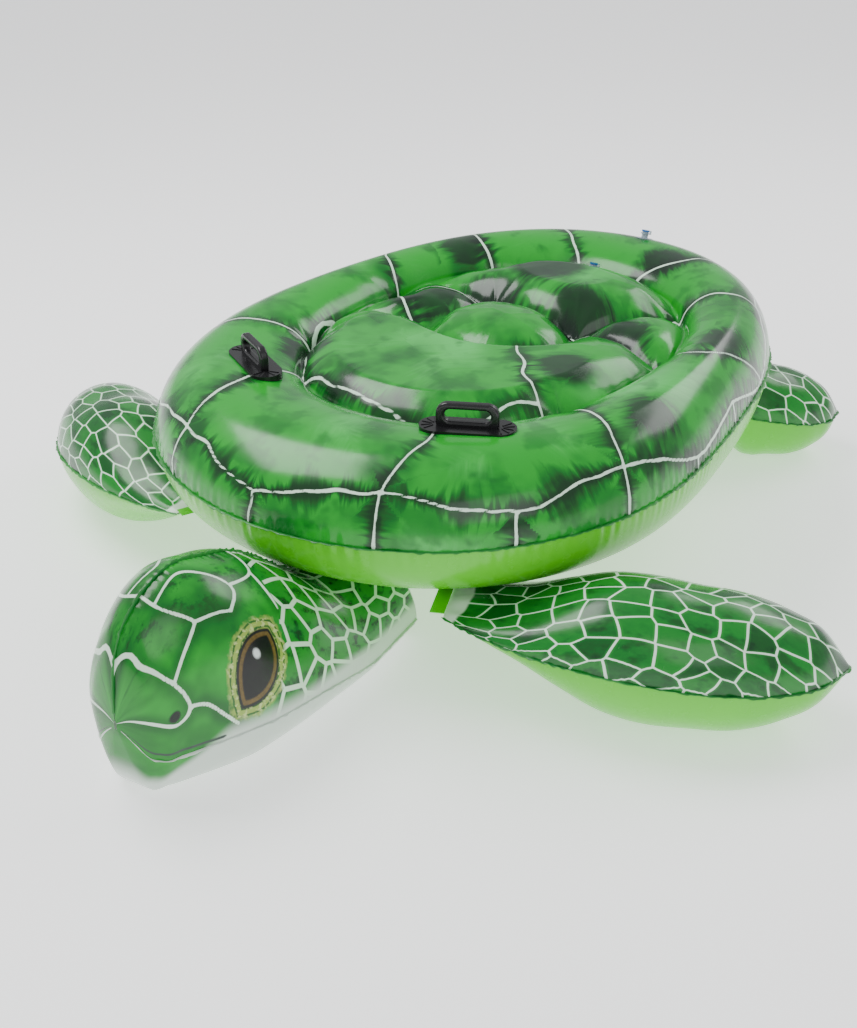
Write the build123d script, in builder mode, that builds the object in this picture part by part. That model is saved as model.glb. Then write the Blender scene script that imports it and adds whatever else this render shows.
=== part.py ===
from build123d import *
import os
from math import cos, hypot, pi, radians, sin, tan

# Ride-on sea turtle pool float, inflated, standing on its flippers and head.
# Millimetres.  +Z is up, the head points to -Y, the turtle's left side is +X.
# The origin is on the floor, under the middle of the float's bounding box.
# The hull is built level, round its own Z axis, and is then moved to its place with a small tilt.

# ---- driving dimensions -------------------------------------------------------
FILM = 2.5               # modelled thickness of every air-tight sheet
CLEAR = 0.5              # play left between welded strips and the sheets
PATCH = 1.5              # thickness of the root patches

HULL_Y = 123.7           # middle of the hull
HULL_TILT = 1.15         # degrees that the hull's front is lowered
HULL_R = 583.0           # mean radius of the hull's welded outline
HULL_LONG = 0.157        # how much longer than wide the outline is
HULL_TAPER = -0.038      # how much the tail narrows
SEAM_Z = 305.0           # height of the hull's perimeter weld
TOP_RISE = 120.0         # height of the ring tube above the weld
BELLY_DROP = 125.0       # depth of the belly below the weld
WELD_WIDTH = 6.0         # how far the weld flange stands out
WELD_THICK = 2.0
WELD_LAP = 8.0           # how far the two sheets lap inside the weld

SEAT_X = 300.0           # half width of the seat's crease line
SEAT_Y = 420.0           # half length of the seat's crease line
SEAT_MID_Y = 55.0        # middle of the seat, measured from the hull's middle
CREASE_DROP = 45.0       # depth of the crease below the ring's crest
BELLY_Z = SEAM_Z - BELLY_DROP
CREST_Z = SEAM_Z + TOP_RISE

HEAD_NOSE = (60.0, -876.3)      # the head lies turned a little to the left
HEAD_REAR = (0.0, -286.3)
JAW_Z = 34.0                    # height of the weld between cheeks and throat

FRONT_ROOT, FRONT_TIP = (268.0, -342.3), (850.0, -81.3)
REAR_ROOT, REAR_TIP = (95.0, 619.7), (420.0, 877.3)

HANDLE_AT = (230.0, -370.0)   # from the hull's middle, as the valves' places below
HANDLE_TURN = 27.0              # degrees between the handle and the X axis
FLANGE_LONG, FLANGE_WIDE = 160.0, 58.0
FLANGE_THICK = 3.0
GRIP_LONG, GRIP_HIGH, GRIP_THICK = 104.0, 40.0, 15.0
SLOT_LONG, SLOT_HIGH = 76.0, 21.0
RIB_COUNT = 5                   # ribs on each end of the flange

VALVE_LEAN = 17.0               # degrees that both valves lean towards the tail
OUTER_VALVE_AT = (0.0, 612.0, CREST_Z - 3.5)
SEAT_VALVE_AT = (-12.0, 420.0, CREST_Z - 22.5)
VALVE_FLANGE_R = 18.0
STEM_R, STEM_BORE_R = 7.0, 4.6
STEM_UP, STEM_DOWN = 14.0, 20.0
COLLAR_R, COLLAR_THICK = 9.5, 2.0
RUN = 0.3                       # running clearance of the valve's moving pieces

STATIONS = 16                   # points around each section of the hull

os.makedirs("parts", exist_ok=True)


LEVEL = Location((0, 0, 0))
HULL_PLACE = Location((0, HULL_Y, SEAM_Z), (HULL_TILT, 0, 0)) * Location((0, 0, -SEAM_Z))


def save(piece, name, place=LEVEL):
    placed = place * piece.part
    placed.label = name
    export_step(placed, f"parts/{name}.step")


def lofted(faces):
    with BuildPart() as solid:
        loft(sections=faces, ruled=True)
    return solid.part


def sheet(outside, inside):
    """Bowl-like film between two lofts whose first sections lie in one plane."""
    outer_rim, inner_rim = outside[0].outer_wire(), inside[0].outer_wire()
    rim = Face(outer_rim, [inner_rim])
    faces = [rim]
    for sections in (outside, inside):
        solid = lofted(sections)
        mouth = solid.faces().filter_by(GeomType.PLANE).sort_by_distance(sections[0].center())[0]
        faces += [face for face in solid.faces() if not face.is_same(mouth)]
    return Solid(Shell(faces))


# ---- hull -----------------------------------------------------------------------
def hull_edge(turn, out=0.0):
    """Point of the hull's welded outline; turn is measured from the head's direction."""
    radius = out + HULL_R * (1 + HULL_LONG * cos(2 * turn) + HULL_TAPER * cos(3 * turn))
    return radius * sin(turn), -radius * cos(turn)


def crease_edge(turn, scale=1.0, out=0.0):
    x_reach, y_reach = SEAT_X * scale + out, SEAT_Y * scale + out
    return x_reach * sin(turn), SEAT_MID_Y - y_reach * cos(turn)


def ring_edge(turn, share, inset):
    """Point between the weld (share 0) and the crease (share 1), moved inwards by inset."""
    outer, inner = hull_edge(turn), crease_edge(turn)
    k = share + inset / hypot(inner[0] - outer[0], inner[1] - outer[1])
    return outer[0] + (inner[0] - outer[0]) * k, outer[1] + (inner[1] - outer[1]) * k


def outline(edge, *settings):
    return [edge(2 * pi * i / STATIONS, *settings) for i in range(STATIONS)]


def section(points, height):
    with BuildSketch(Plane.XY.offset(height)) as sketch:
        with BuildLine():
            Spline(*points, periodic=True)
        make_face()
    return sketch.sketch.faces()[0]


TUBE_ANGLES = (0, 14, 28, 42, 56, 72, 90)
# From the crest inwards: share of the way to the crease, drop below the crest.
INNER_SLOPE = ((0.66, 3.0), (0.80, 12.0), (0.92, 27.0), (1.0, CREASE_DROP))
# Inside the crease: scale of the crease outline, drop below the crest.
SEAT_DISH = ((0.92, 28.0), (0.80, 16.0), (0.60, 11.0), (0.30, 14.0))


def tube_sections(skin, side):
    """The ring tube's outer half; side is 1 above the weld and -1 below it."""
    faces = []
    depth = TOP_RISE if side > 0 else BELLY_DROP
    for angle in TUBE_ANGLES:
        a = radians(angle)
        share, rise = 0.5 * (1 - cos(a)), (depth - skin) * sin(a)
        height = SEAM_Z + side * (WELD_THICK / 2 + rise)
        faces.append(section(outline(ring_edge, share, skin * cos(a)), height))
    return faces


def top_sections(skin):
    crest = CREST_Z + WELD_THICK / 2 - skin
    faces = tube_sections(skin, 1)
    faces += [section(outline(ring_edge, share, 0), crest - drop) for share, drop in INNER_SLOPE]
    faces += [section(outline(crease_edge, scale), crest - drop) for scale, drop in SEAT_DISH]
    return faces


hull_outside = lofted(top_sections(0))


def valve_plane(at):
    lean = radians(VALVE_LEAN)
    return Plane(origin=at, x_dir=(1, 0, 0), z_dir=(0, sin(lean), cos(lean)))


with BuildPart() as hull_top_sheet:
    add(sheet(top_sections(0), top_sections(FILM)))
    for spot in (OUTER_VALVE_AT, SEAT_VALVE_AT):
        with BuildSketch(valve_plane(spot).offset(-15)):
            Circle(VALVE_FLANGE_R + RUN)
        extrude(amount=30, mode=Mode.SUBTRACT)
save(hull_top_sheet, "hull_top_sheet", HULL_PLACE)

with BuildPart() as hull_bottom_sheet:
    add(sheet(tube_sections(0, -1), tube_sections(FILM, -1)))
save(hull_bottom_sheet, "hull_bottom_sheet", HULL_PLACE)

with BuildPart() as hull_weld_flange:
    with BuildSketch(Plane.XY.offset(SEAM_Z - WELD_THICK / 2)):
        with BuildLine():
            Spline(*outline(hull_edge, WELD_WIDTH), periodic=True)
        make_face()
        with BuildLine():
            Spline(*outline(hull_edge, -WELD_LAP), periodic=True)
        make_face(mode=Mode.SUBTRACT)
    extrude(amount=WELD_THICK)
save(hull_weld_flange, "hull_weld_flange", HULL_PLACE)

# The oval wall welded to both sheets makes the crease and closes off the seat's chamber.
wall_foot = BELLY_Z - WELD_THICK / 2 + FILM + CLEAR
wall_top = CREST_Z + WELD_THICK / 2 - CREASE_DROP - FILM - CLEAR
with BuildPart() as seat_ring_wall:
    with BuildSketch(Plane.XY.offset(wall_foot)):
        with BuildLine():
            Spline(*outline(crease_edge, 1.0, FILM / 2), periodic=True)
        make_face()
        with BuildLine():
            Spline(*outline(crease_edge, 1.0, -FILM / 2), periodic=True)
        make_face(mode=Mode.SUBTRACT)
    extrude(amount=wall_top - wall_foot)
save(seat_ring_wall, "seat_ring_wall", HULL_PLACE)

# Straight strips welded across the seat's chamber pull its lobes down.
STRIP_TOP = CREST_Z - 34.0
SEAT_STRIPS = {                 # name: middle, length and turn
    "seat_strip_front": ((0, SEAT_MID_Y - 190), 330, 0),
    "seat_strip_rear": ((0, SEAT_MID_Y + 190), 250, 0),
    "seat_strip_left": ((150, SEAT_MID_Y), 210, 90),
    "seat_strip_right": ((-150, SEAT_MID_Y), 210, 90),
}
for name, (middle, length, turn) in SEAT_STRIPS.items():
    with BuildPart() as strip:
        with BuildSketch(Plane(origin=(*middle, wall_foot))):
            Rectangle(length, FILM, rotation=turn)
        extrude(amount=STRIP_TOP - wall_foot)
    save(strip, name, HULL_PLACE)

# ---- flippers -------------------------------------------------------------------
# Along each flipper: share of its length, half width as a share of the largest, and the half
# thickness of a front and of a rear flipper.
FLIPPER_FORM = (
    (0.00, 0.51, 3.0, 3.0), (0.10, 0.68, 24.0, 18.0), (0.20, 0.81, 48.0, 33.0), (0.30, 0.91, 83.0, 54.0),
    (0.40, 0.97, 113.0, 84.0), (0.50, 1.00, 123.3, 110.0), (0.62, 0.98, 118.0, 102.4),
    (0.74, 0.87, 112.0, 95.6), (0.85, 0.68, 88.0, 76.0), (0.94, 0.42, 53.0, 45.0), (1.00, 0.09, 3.0, 3.0),
)
FRONT_THICK, REAR_THICK = 2, 3         # columns of FLIPPER_FORM
FRONT_HALF_WIDTH, REAR_HALF_WIDTH = 137.0, 110.0
FRONT_BOW, REAR_BOW = 32.0, 10.0       # how far the middle line bends forwards
FRONT_TIP_Z, REAR_TIP_Z = 111.3, 89.5
FLIPPER_ROLL = 8.0                     # degrees that the front edge is raised
ROOT_DROP = 10.0                       # from the belly down to the root weld
STRIP_WIDE = 24.0                      # width of the strips that weld head and flippers on
STRIP_Z = BELLY_Z - WELD_THICK / 2 - CLEAR - PATCH


def belly_height(y):
    return BELLY_Z + (y - HULL_Y) * tan(radians(HULL_TILT))


def flipper_planes(root, tip, bow, tip_z):
    """Planes across the flipper's middle line; their x axis points to the leading edge."""
    length = hypot(tip[0] - root[0], tip[1] - root[1])
    along = ((tip[0] - root[0]) / length, (tip[1] - root[1]) / length)
    lead = (along[1], -along[0])
    root_z = belly_height(root[1]) - ROOT_DROP
    planes = []
    for share, *form in FLIPPER_FORM:
        bend = 4 * bow * share * (1 - share)
        x = root[0] + along[0] * length * share + lead[0] * bend
        y = root[1] + along[1] * length * share + lead[1] * bend
        z = tip_z + (root_z - tip_z) * (1 - share) ** 2
        tilt = radians(FLIPPER_ROLL) * sin(pi * share)
        cross = (lead[0] * cos(tilt), lead[1] * cos(tilt), sin(tilt))
        planes.append(Plane(origin=(x, y, z), x_dir=cross, z_dir=(-along[0], -along[1], 0)))
    return planes


def half_pillow(planes, half_width, column, first_angle):
    """Film over half of the flipper: upper half from angle 0, lower half from angle 180."""
    faces = []
    for plane, form in zip(planes, FLIPPER_FORM):
        reach, height = half_width * form[1], form[column]
        with BuildSketch(plane) as sketch:
            with BuildLine():
                outer = EllipticalCenterArc((0, 0), reach, height, first_angle, arc_size=180)
                inner = EllipticalCenterArc((0, 0), reach - FILM, height - FILM, first_angle, arc_size=180)
                Line(outer @ 0, inner @ 0)
                Line(outer @ 1, inner @ 1)
            make_face()
        faces.append(sketch.sketch.faces()[0])
    return lofted(faces)


FLIPPERS = {
    "front": (FRONT_ROOT, FRONT_TIP, FRONT_BOW, FRONT_TIP_Z, FRONT_HALF_WIDTH, FRONT_THICK),
    "rear": (REAR_ROOT, REAR_TIP, REAR_BOW, REAR_TIP_Z, REAR_HALF_WIDTH, REAR_THICK),
}
for place, (root, tip, bow, tip_z, half_width, column) in FLIPPERS.items():
    planes = flipper_planes(root, tip, bow, tip_z)
    with BuildPart() as upper:
        add(half_pillow(planes, half_width, column, 0))
    with BuildPart() as lower:
        add(half_pillow(planes, half_width, column, 180))
    with BuildPart() as strip:
        weld_at = (root[0], root[1] - HULL_Y, STRIP_Z)
        with BuildSketch(Plane(origin=weld_at, x_dir=planes[0].x_dir, z_dir=(0, 0, 1))):
            with Locations((0, -STRIP_WIDE / 2)):
                Rectangle(2 * half_width * FLIPPER_FORM[0][1], STRIP_WIDE)
        extrude(amount=PATCH)
    for piece, name, at in ((upper, "upper_panel", LEVEL), (lower, "lower_panel", LEVEL),
                            (strip, "root_strip", HULL_PLACE)):
        save(piece, f"{place}_left_{name}", at)
        with BuildPart() as mirrored:
            add(mirror(piece.part, about=Plane.YZ, mode=Mode.PRIVATE))
        save(mirrored, f"{place}_right_{name}", at)

# ---- head -----------------------------------------------------------------------
# Along the head: distance from the nose, half width, underside and crown heights.
HEAD_FORM = (
    (-20, 3, 128, 146), (-16, 26, 92, 186), (-10, 52, 50, 226), (6, 84, 14, 266), (35, 104, 3, 297), (75, 121, 0, 320),
    (130, 136, 0, 330), (200, 150, 0, 312), (270, 158, 0, 286), (330, 160, 0, 246), (390, 160, 0, 198),
    (430, 159, 0, 172), (470, 156, 0, 166), (583, 148, 0, 166),
)
THROAT_FLAT = 0.55       # share of the half width that is flat under the throat
NECK_SHARE = 0.5         # share of the neck's width that is welded to the belly


def head_plane(distance):
    """Plane across the head with its x axis to the head's left and its y axis up."""
    length = hypot(HEAD_REAR[0] - HEAD_NOSE[0], HEAD_REAR[1] - HEAD_NOSE[1])
    back = ((HEAD_REAR[0] - HEAD_NOSE[0]) / length, (HEAD_REAR[1] - HEAD_NOSE[1]) / length)
    origin = (HEAD_NOSE[0] + back[0] * distance, HEAD_NOSE[1] + back[1] * distance, 0)
    return Plane(origin=origin, x_dir=(back[1], -back[0], 0), z_dir=(-back[0], -back[1], 0))


def jaw_height(low, high):
    return max(JAW_Z, low + 0.25 * (high - low))


def cheek(side):
    """Left (side 1) or right (side -1) cheek panel, from the crown seam to the jaw weld."""
    faces = []
    for distance, half_width, low, high in HEAD_FORM:
        jaw = jaw_height(low, high)
        start = 0 if side > 0 else 90
        with BuildSketch(head_plane(distance)) as sketch:
            with BuildLine():
                outer = EllipticalCenterArc((0, jaw), half_width, high - jaw, start, arc_size=90)
                inner = EllipticalCenterArc((0, jaw), half_width - FILM, high - jaw - FILM, start,
                                            arc_size=90)
                Line(outer @ 0, inner @ 0)
                Line(outer @ 1, inner @ 1)
            make_face()
        faces.append(sketch.sketch.faces()[0])
    return lofted(faces)


def throat_line(half_width, jaw, low):
    """Half of the throat's profile: a quarter ellipse that runs into the flat."""
    flat = THROAT_FLAT * half_width
    EllipticalCenterArc((flat, jaw), half_width - flat, jaw - low, 270, arc_size=90)
    Line((-flat, low), (flat, low))
    EllipticalCenterArc((-flat, jaw), half_width - flat, jaw - low, 180, arc_size=90)


def throat():
    faces = []
    for distance, half_width, low, high in HEAD_FORM:
        jaw = jaw_height(low, high)
        with BuildSketch(head_plane(distance)) as sketch:
            with BuildLine():
                throat_line(half_width, jaw, low)
                throat_line(half_width - FILM, jaw, low + FILM)
                Line((half_width, jaw), (half_width - FILM, jaw))
                Line((-half_width, jaw), (-half_width + FILM, jaw))
            make_face()
        faces.append(sketch.sketch.faces()[0])
    return lofted(faces)


with BuildPart() as head_left_cheek:
    add(cheek(1))
save(head_left_cheek, "head_left_cheek")

with BuildPart() as head_right_cheek:
    add(cheek(-1))
save(head_right_cheek, "head_right_cheek")

with BuildPart() as head_throat_panel:
    add(throat())
save(head_throat_panel, "head_throat_panel")

neck_at, neck_half_width, neck_low, neck_high = HEAD_FORM[-1]
neck_jaw = jaw_height(neck_low, neck_high)
with BuildPart() as head_neck_panel:
    with BuildSketch(head_plane(neck_at)):
        with BuildLine():
            throat_line(neck_half_width, neck_jaw, neck_low)
            EllipticalCenterArc((0, neck_jaw), neck_half_width, neck_high - neck_jaw, arc_size=180)
        make_face()
    extrude(amount=-FILM)
save(head_neck_panel, "head_neck_panel")

neck_strip = head_plane(neck_at - STRIP_WIDE / 2)
strip_at = (neck_strip.origin.X, neck_strip.origin.Y - HULL_Y, STRIP_Z)
with BuildPart() as head_root_strip:
    with BuildSketch(Plane(origin=strip_at, x_dir=neck_strip.x_dir, z_dir=(0, 0, 1))):
        Rectangle(2 * neck_half_width * NECK_SHARE, STRIP_WIDE)
    extrude(amount=PATCH)
save(head_root_strip, "head_root_strip", HULL_PLACE)


# ---- handles --------------------------------------------------------------------
FLANGE_DEPTH = 14.0      # how far the flange's underside follows the hull down
RIB_LONG, RIB_WIDE, RIB_HIGH = 18.0, 2.2, 1.2
RIB_AT = 0.28            # radius of the ribs' middles as a share of the flange's width
RIB_FAN = 150.0          # angle that the ribs of one end spread over
GRIP_ROUND, GRIP_CORNER = 4.5, 20.0
SLOT_FOOT = 8.0          # height of the slot above the flange


def handle(side):
    """Left (side 1) or right (side -1) handle: ribbed flange and a grip bar over a finger slot."""
    turn = radians(HANDLE_TURN)
    run = (cos(turn), side * sin(turn), 0)
    at = (side * HANDLE_AT[0], HANDLE_AT[1], CREST_Z + WELD_THICK / 2 + FLANGE_THICK)
    flange_plane = Plane(origin=at, x_dir=run, z_dir=(0, 0, 1))
    with BuildPart() as grip:
        with BuildSketch(Plane(origin=at, x_dir=run, z_dir=(run[1], -run[0], 0))):
            with Locations((0, (GRIP_HIGH - FLANGE_DEPTH) / 2)):
                RectangleRounded(GRIP_LONG, GRIP_HIGH + FLANGE_DEPTH, GRIP_CORNER)
            with Locations((0, SLOT_HIGH / 2 + SLOT_FOOT)):
                SlotOverall(SLOT_LONG, SLOT_HIGH, mode=Mode.SUBTRACT)
        extrude(amount=GRIP_THICK / 2, both=True)
        fillet(grip.edges(), GRIP_ROUND)
    with BuildPart() as whole:
        with BuildSketch(flange_plane.offset(-FLANGE_DEPTH)):
            SlotOverall(FLANGE_LONG, FLANGE_WIDE)
        extrude(amount=FLANGE_DEPTH)
        with BuildSketch(flange_plane):
            for end in (1, -1):
                with Locations(((FLANGE_LONG - FLANGE_WIDE) / 2 * end, 0)):
                    with PolarLocations(FLANGE_WIDE * RIB_AT, RIB_COUNT, 90 - 90 * end - RIB_FAN / 2, RIB_FAN):
                        Rectangle(RIB_LONG, RIB_WIDE)
        extrude(amount=RIB_HIGH)
        add(grip.part)
        add(hull_outside, mode=Mode.SUBTRACT)
    return whole


save(handle(1), "left_handle", HULL_PLACE)
save(handle(-1), "right_handle", HULL_PLACE)


# ---- valves ---------------------------------------------------------------------
BASE_HALF = 0.8          # half thickness of the valve's flange
CUFF_THICK, CUFF_DEEP = 2.0, 7.0
STRAP_DROP = 4.5         # from the stem's mouth to the strap's collar
PLUG_DEEP = 9.0
CAP_R, CAP_THICK = 8.5, 3.5
FLAP_THICK = 1.2


def disc(plane, low, high, radius, bore=0.0):
    """Round solid on the valve's axis between two heights above its flange."""
    with BuildPart() as piece:
        with BuildSketch(plane.offset(low)):
            Circle(radius)
            if bore:
                Circle(bore, mode=Mode.SUBTRACT)
        extrude(amount=high - low)
    return piece.part


def valve(at, name):
    plane = valve_plane(at)
    with BuildPart() as base:
        add(disc(plane, -BASE_HALF, BASE_HALF, VALVE_FLANGE_R, STEM_R + RUN))
        add(disc(plane, -CUFF_DEEP, 0, STEM_R + RUN + CUFF_THICK, STEM_R + RUN))
    save(base, f"{name}_valve_base", HULL_PLACE)

    with BuildPart() as stem:
        add(disc(plane, -STEM_DOWN, STEM_UP, STEM_R, STEM_BORE_R))
    save(stem, f"{name}_valve_stem", HULL_PLACE)

    collar_foot = STEM_UP - STRAP_DROP
    with BuildPart() as strap:
        add(disc(plane, collar_foot, collar_foot + COLLAR_THICK, COLLAR_R, STEM_R))
        with BuildSketch(plane.offset(collar_foot)):
            with Locations((COLLAR_R + 1, 0)):
                Rectangle(4, 5)
        extrude(amount=COLLAR_THICK)
        with BuildSketch(plane.offset(collar_foot)):
            with Locations((COLLAR_R + 2.5, 0)):
                Rectangle(1.4, 5)
        extrude(amount=STRAP_DROP + CAP_THICK)
    save(strap, f"{name}_valve_strap", HULL_PLACE)

    cap_foot = STEM_UP + RUN
    with BuildPart() as plug:
        add(disc(plane, STEM_UP - PLUG_DEEP, cap_foot, STEM_BORE_R - RUN))
        add(disc(plane, cap_foot, cap_foot + CAP_THICK, CAP_R))
    save(plug, f"{name}_valve_plug", HULL_PLACE)

    with BuildPart() as flap:
        add(disc(plane, -STEM_DOWN - RUN - FLAP_THICK, -STEM_DOWN - RUN, STEM_R - RUN))
    save(flap, f"{name}_valve_flap", HULL_PLACE)


valve(OUTER_VALVE_AT, "outer")
valve(SEAT_VALVE_AT, "seat")
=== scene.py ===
from math import cos, hypot, pi, radians, sin, sqrt

import bpy
import numpy as np
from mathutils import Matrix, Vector


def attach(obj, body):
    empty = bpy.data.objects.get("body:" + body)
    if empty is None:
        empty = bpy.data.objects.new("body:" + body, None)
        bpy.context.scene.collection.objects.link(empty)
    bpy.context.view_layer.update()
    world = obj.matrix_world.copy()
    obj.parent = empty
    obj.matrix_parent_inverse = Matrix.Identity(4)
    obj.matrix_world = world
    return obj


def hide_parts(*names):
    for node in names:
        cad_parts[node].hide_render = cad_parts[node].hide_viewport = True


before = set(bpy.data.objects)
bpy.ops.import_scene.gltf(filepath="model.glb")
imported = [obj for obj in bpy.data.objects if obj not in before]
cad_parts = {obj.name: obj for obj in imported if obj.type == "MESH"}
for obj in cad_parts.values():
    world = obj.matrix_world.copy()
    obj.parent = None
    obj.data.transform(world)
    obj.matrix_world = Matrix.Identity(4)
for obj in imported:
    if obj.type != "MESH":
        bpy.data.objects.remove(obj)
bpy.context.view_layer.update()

# Ride-on sea turtle pool float.  Metres, the CAD's frame: +Z up, head towards -Y.

# ==== shared maths ===============================================================
def unit(v):
    return v / np.maximum(np.linalg.norm(v, axis=-1, keepdims=True), 1e-9)


def smooth_step(x):
    x = np.clip(x, 0.0, 1.0)
    return x * x * (3 - 2 * x)


def noise(points, scale, seed=0):
    """Smooth value noise from -1 to 1 at an array of 2-D or 3-D points."""
    q = np.asarray(points, float) / scale
    cell = np.floor(q).astype(int)
    f = smooth_step(q - cell)
    total = np.zeros(q.shape[:-1])
    dims = q.shape[-1]
    for corner in range(2 ** dims):
        weight = np.ones(q.shape[:-1])
        code = np.full(q.shape[:-1], seed * 7919 + 13, dtype=np.int64)
        for axis in range(dims):
            bit = (corner >> axis) & 1
            weight = weight * (f[..., axis] if bit else 1 - f[..., axis])
            code = (code * 73856093) ^ ((cell[..., axis] + bit) * (19349663 + 83492791 * axis))
        code = (code ^ (code >> 13)) * 1274126177
        value = ((code ^ (code >> 16)) & 0xFFFF) / 32767.5 - 1
        total += weight * value
    return total


def line_distance(points, line):
    """Distance to a polyline, and the share of the way along it."""
    best = np.full(len(points), 1e9)
    along = np.zeros(len(points))
    pieces = np.linalg.norm(np.diff(line, axis=0), axis=1)
    start = np.concatenate(([0], np.cumsum(pieces)))
    for i, (a, b) in enumerate(zip(line[:-1], line[1:])):
        ab = b - a
        t = np.clip(((points - a) @ ab) / max(ab @ ab, 1e-12), 0, 1)
        d = np.linalg.norm(points - a - t[:, None] * ab, axis=1)
        near = d < best
        best[near] = d[near]
        along[near] = (start[i] + t[near] * pieces[i]) / start[-1]
    return best, along


def curve(points, per_span=8, closed=False):
    """Smooth curve through a few points."""
    p = np.asarray(points, float)
    n = len(p)
    spans = n if closed else n - 1
    t = np.linspace(0, 1, per_span, endpoint=False)[:, None]
    out = []
    for i in range(spans):
        if closed:
            a, b, c, d = (p[(i + k) % n] for k in (-1, 0, 1, 2))
        else:
            a, b, c, d = (p[min(max(i + k, 0), n - 1)] for k in (-1, 0, 1, 2))
        out.append(0.5 * (2 * b + (c - a) * t + (2 * a - 5 * b + 4 * c - d) * t ** 2
                          + (3 * b - a - 3 * c + d) * t ** 3))
    if not closed:
        out.append(p[-1:])
    return np.concatenate(out)


# ==== hull surface ===============================================================
# The hull's points are worked out level and round its own Z axis; hull_place moves them.
HULL_Y, HULL_TILT = 0.1237, radians(1.15)
HULL_R, HULL_LONG, HULL_TAPER = 0.583, 0.157, -0.038
SEAM_Z, CREST_Z, BELLY_Z = 0.305, 0.426, 0.179
SEAT_X, SEAT_Y, SEAT_MID_Y = 0.320, 0.415, 0.055
COLUMNS = 840
FLANK_ROWS, SLOPE_ROWS, SEAT_ROWS = 46, 30, 92


def hull_place(points):
    x, y, rise = points[..., 0], points[..., 1], points[..., 2] - SEAM_Z
    return np.stack((x, HULL_Y + y * cos(HULL_TILT) - rise * sin(HULL_TILT),
                     SEAM_Z + y * sin(HULL_TILT) + rise * cos(HULL_TILT)), -1)


def seam_xy(turn, out=0.0):
    r = out + HULL_R * (1 + HULL_LONG * np.cos(2 * turn) + HULL_TAPER * np.cos(3 * turn))
    return np.stack((r * np.sin(turn), -r * np.cos(turn)), -1)


def crease_xy(turn):
    s, c = np.sin(turn), np.cos(turn)
    return np.stack((SEAT_X * np.sign(s) * np.abs(s) ** 0.88,
                     SEAT_MID_Y - SEAT_Y * np.sign(c) * np.abs(c) ** 0.92), -1)


# Points of the seat where a weld pulls the top sheet down: x, y and height.
TUFTS = {
    "left_front": (0.28, -0.16, 0.350), "right_front": (-0.28, -0.16, 0.350),
    "left": (0.30, 0.14, 0.350), "right": (-0.30, 0.14, 0.350),
    "left_rear": (0.20, 0.36, 0.350), "right_rear": (-0.20, 0.36, 0.350),
    "middle": (0.08, 0.20, 0.345), "inner_right": (-0.18, 0.04, 0.340),
    "inner_rear": (-0.12, 0.22, 0.350),
}


def tuft(name):
    return TUFTS[name][:2]


# Valleys between the seat's lobes, from tuft to tuft; the front one goes round the middle lobe.
VALLEYS = (
    ((-0.32, 0.02), tuft("inner_right")),
    (tuft("inner_right"), (0.0, -0.03), (0.12, 0.06), tuft("middle")),
    (tuft("middle"), tuft("left")),
    (tuft("middle"), tuft("inner_rear")),
    (tuft("inner_rear"), tuft("inner_right")),
    (tuft("inner_rear"), (-0.30, 0.24)),
    (tuft("middle"), tuft("left_rear")),
)
VALLEY_Z = 0.366
LOBE_RISE = 0.72       # height of a lobe as a share of a half circle on its width
LOBE_SOFT = 0.018      # how far the valleys are rounded out


def valley_height(xy):
    """Height of the bottom of a valley: lower towards the tufts."""
    z = np.full(len(xy), VALLEY_Z)
    for x, y, low in TUFTS.values():
        d = np.hypot(xy[:, 0] - x, xy[:, 1] - y)
        z = np.minimum(z, low + (VALLEY_Z - low) * smooth_step(d / 0.085))
    return z


def seat_lobes():
    """Inflates the seat between its valleys: returns a function of plan points."""
    step = 0.004
    xs = np.arange(-0.36, 0.3601, step)
    ys = np.arange(-0.42, 0.5201, step)
    gx, gy = np.meshgrid(xs, ys, indexing="ij")
    plan = np.stack((gx.ravel(), gy.ravel()), -1)
    rim = crease_xy(np.linspace(0, 2 * pi, 361))
    lines = [rim] + [curve(v) for v in VALLEYS]
    distance = np.min([line_distance(plan, line)[0] for line in lines], axis=0).reshape(gx.shape)
    angle = np.arctan2(gx, -(gy - SEAT_MID_Y))
    rim_r = np.hypot(*(rim - (0, SEAT_MID_Y)).T)
    rim_a = np.arctan2(rim[:, 0], -(rim[:, 1] - SEAT_MID_Y))
    order = np.argsort(rim_a)
    inside = np.hypot(gx, gy - SEAT_MID_Y) < np.interp(angle, rim_a[order], rim_r[order], period=2 * pi)
    free = inside & (distance > step * 0.75)
    swell = np.zeros_like(gx)
    for _ in range(2600):
        near = (np.roll(swell, 1, 0) + np.roll(swell, -1, 0) + np.roll(swell, 1, 1)
                + np.roll(swell, -1, 1)) / 4 + step * step / 2
        swell = np.where(free, near, 0)
    rate = swell / np.maximum(distance, step)
    for _ in range(3):
        rate = (rate * 2 + np.roll(rate, 1, 0) + np.roll(rate, -1, 0) + np.roll(rate, 1, 1)
                + np.roll(rate, -1, 1)) / 6

    def height(xy):
        u = np.clip((xy[:, 0] - xs[0]) / step, 0, len(xs) - 2)
        v = np.clip((xy[:, 1] - ys[0]) / step, 0, len(ys) - 2)
        i, j = u.astype(int), v.astype(int)
        fu, fv = u - i, v - j
        r = (rate[i, j] * (1 - fu) * (1 - fv) + rate[i + 1, j] * fu * (1 - fv)
             + rate[i, j + 1] * (1 - fu) * fv + rate[i + 1, j + 1] * fu * fv)
        near = np.min([line_distance(xy, line)[0] for line in lines], axis=0)
        puffed = np.sqrt(r * near + LOBE_SOFT ** 2) - LOBE_SOFT
        return np.minimum(valley_height(xy) + LOBE_RISE * puffed, CREST_Z - 0.003)
    return height


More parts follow.
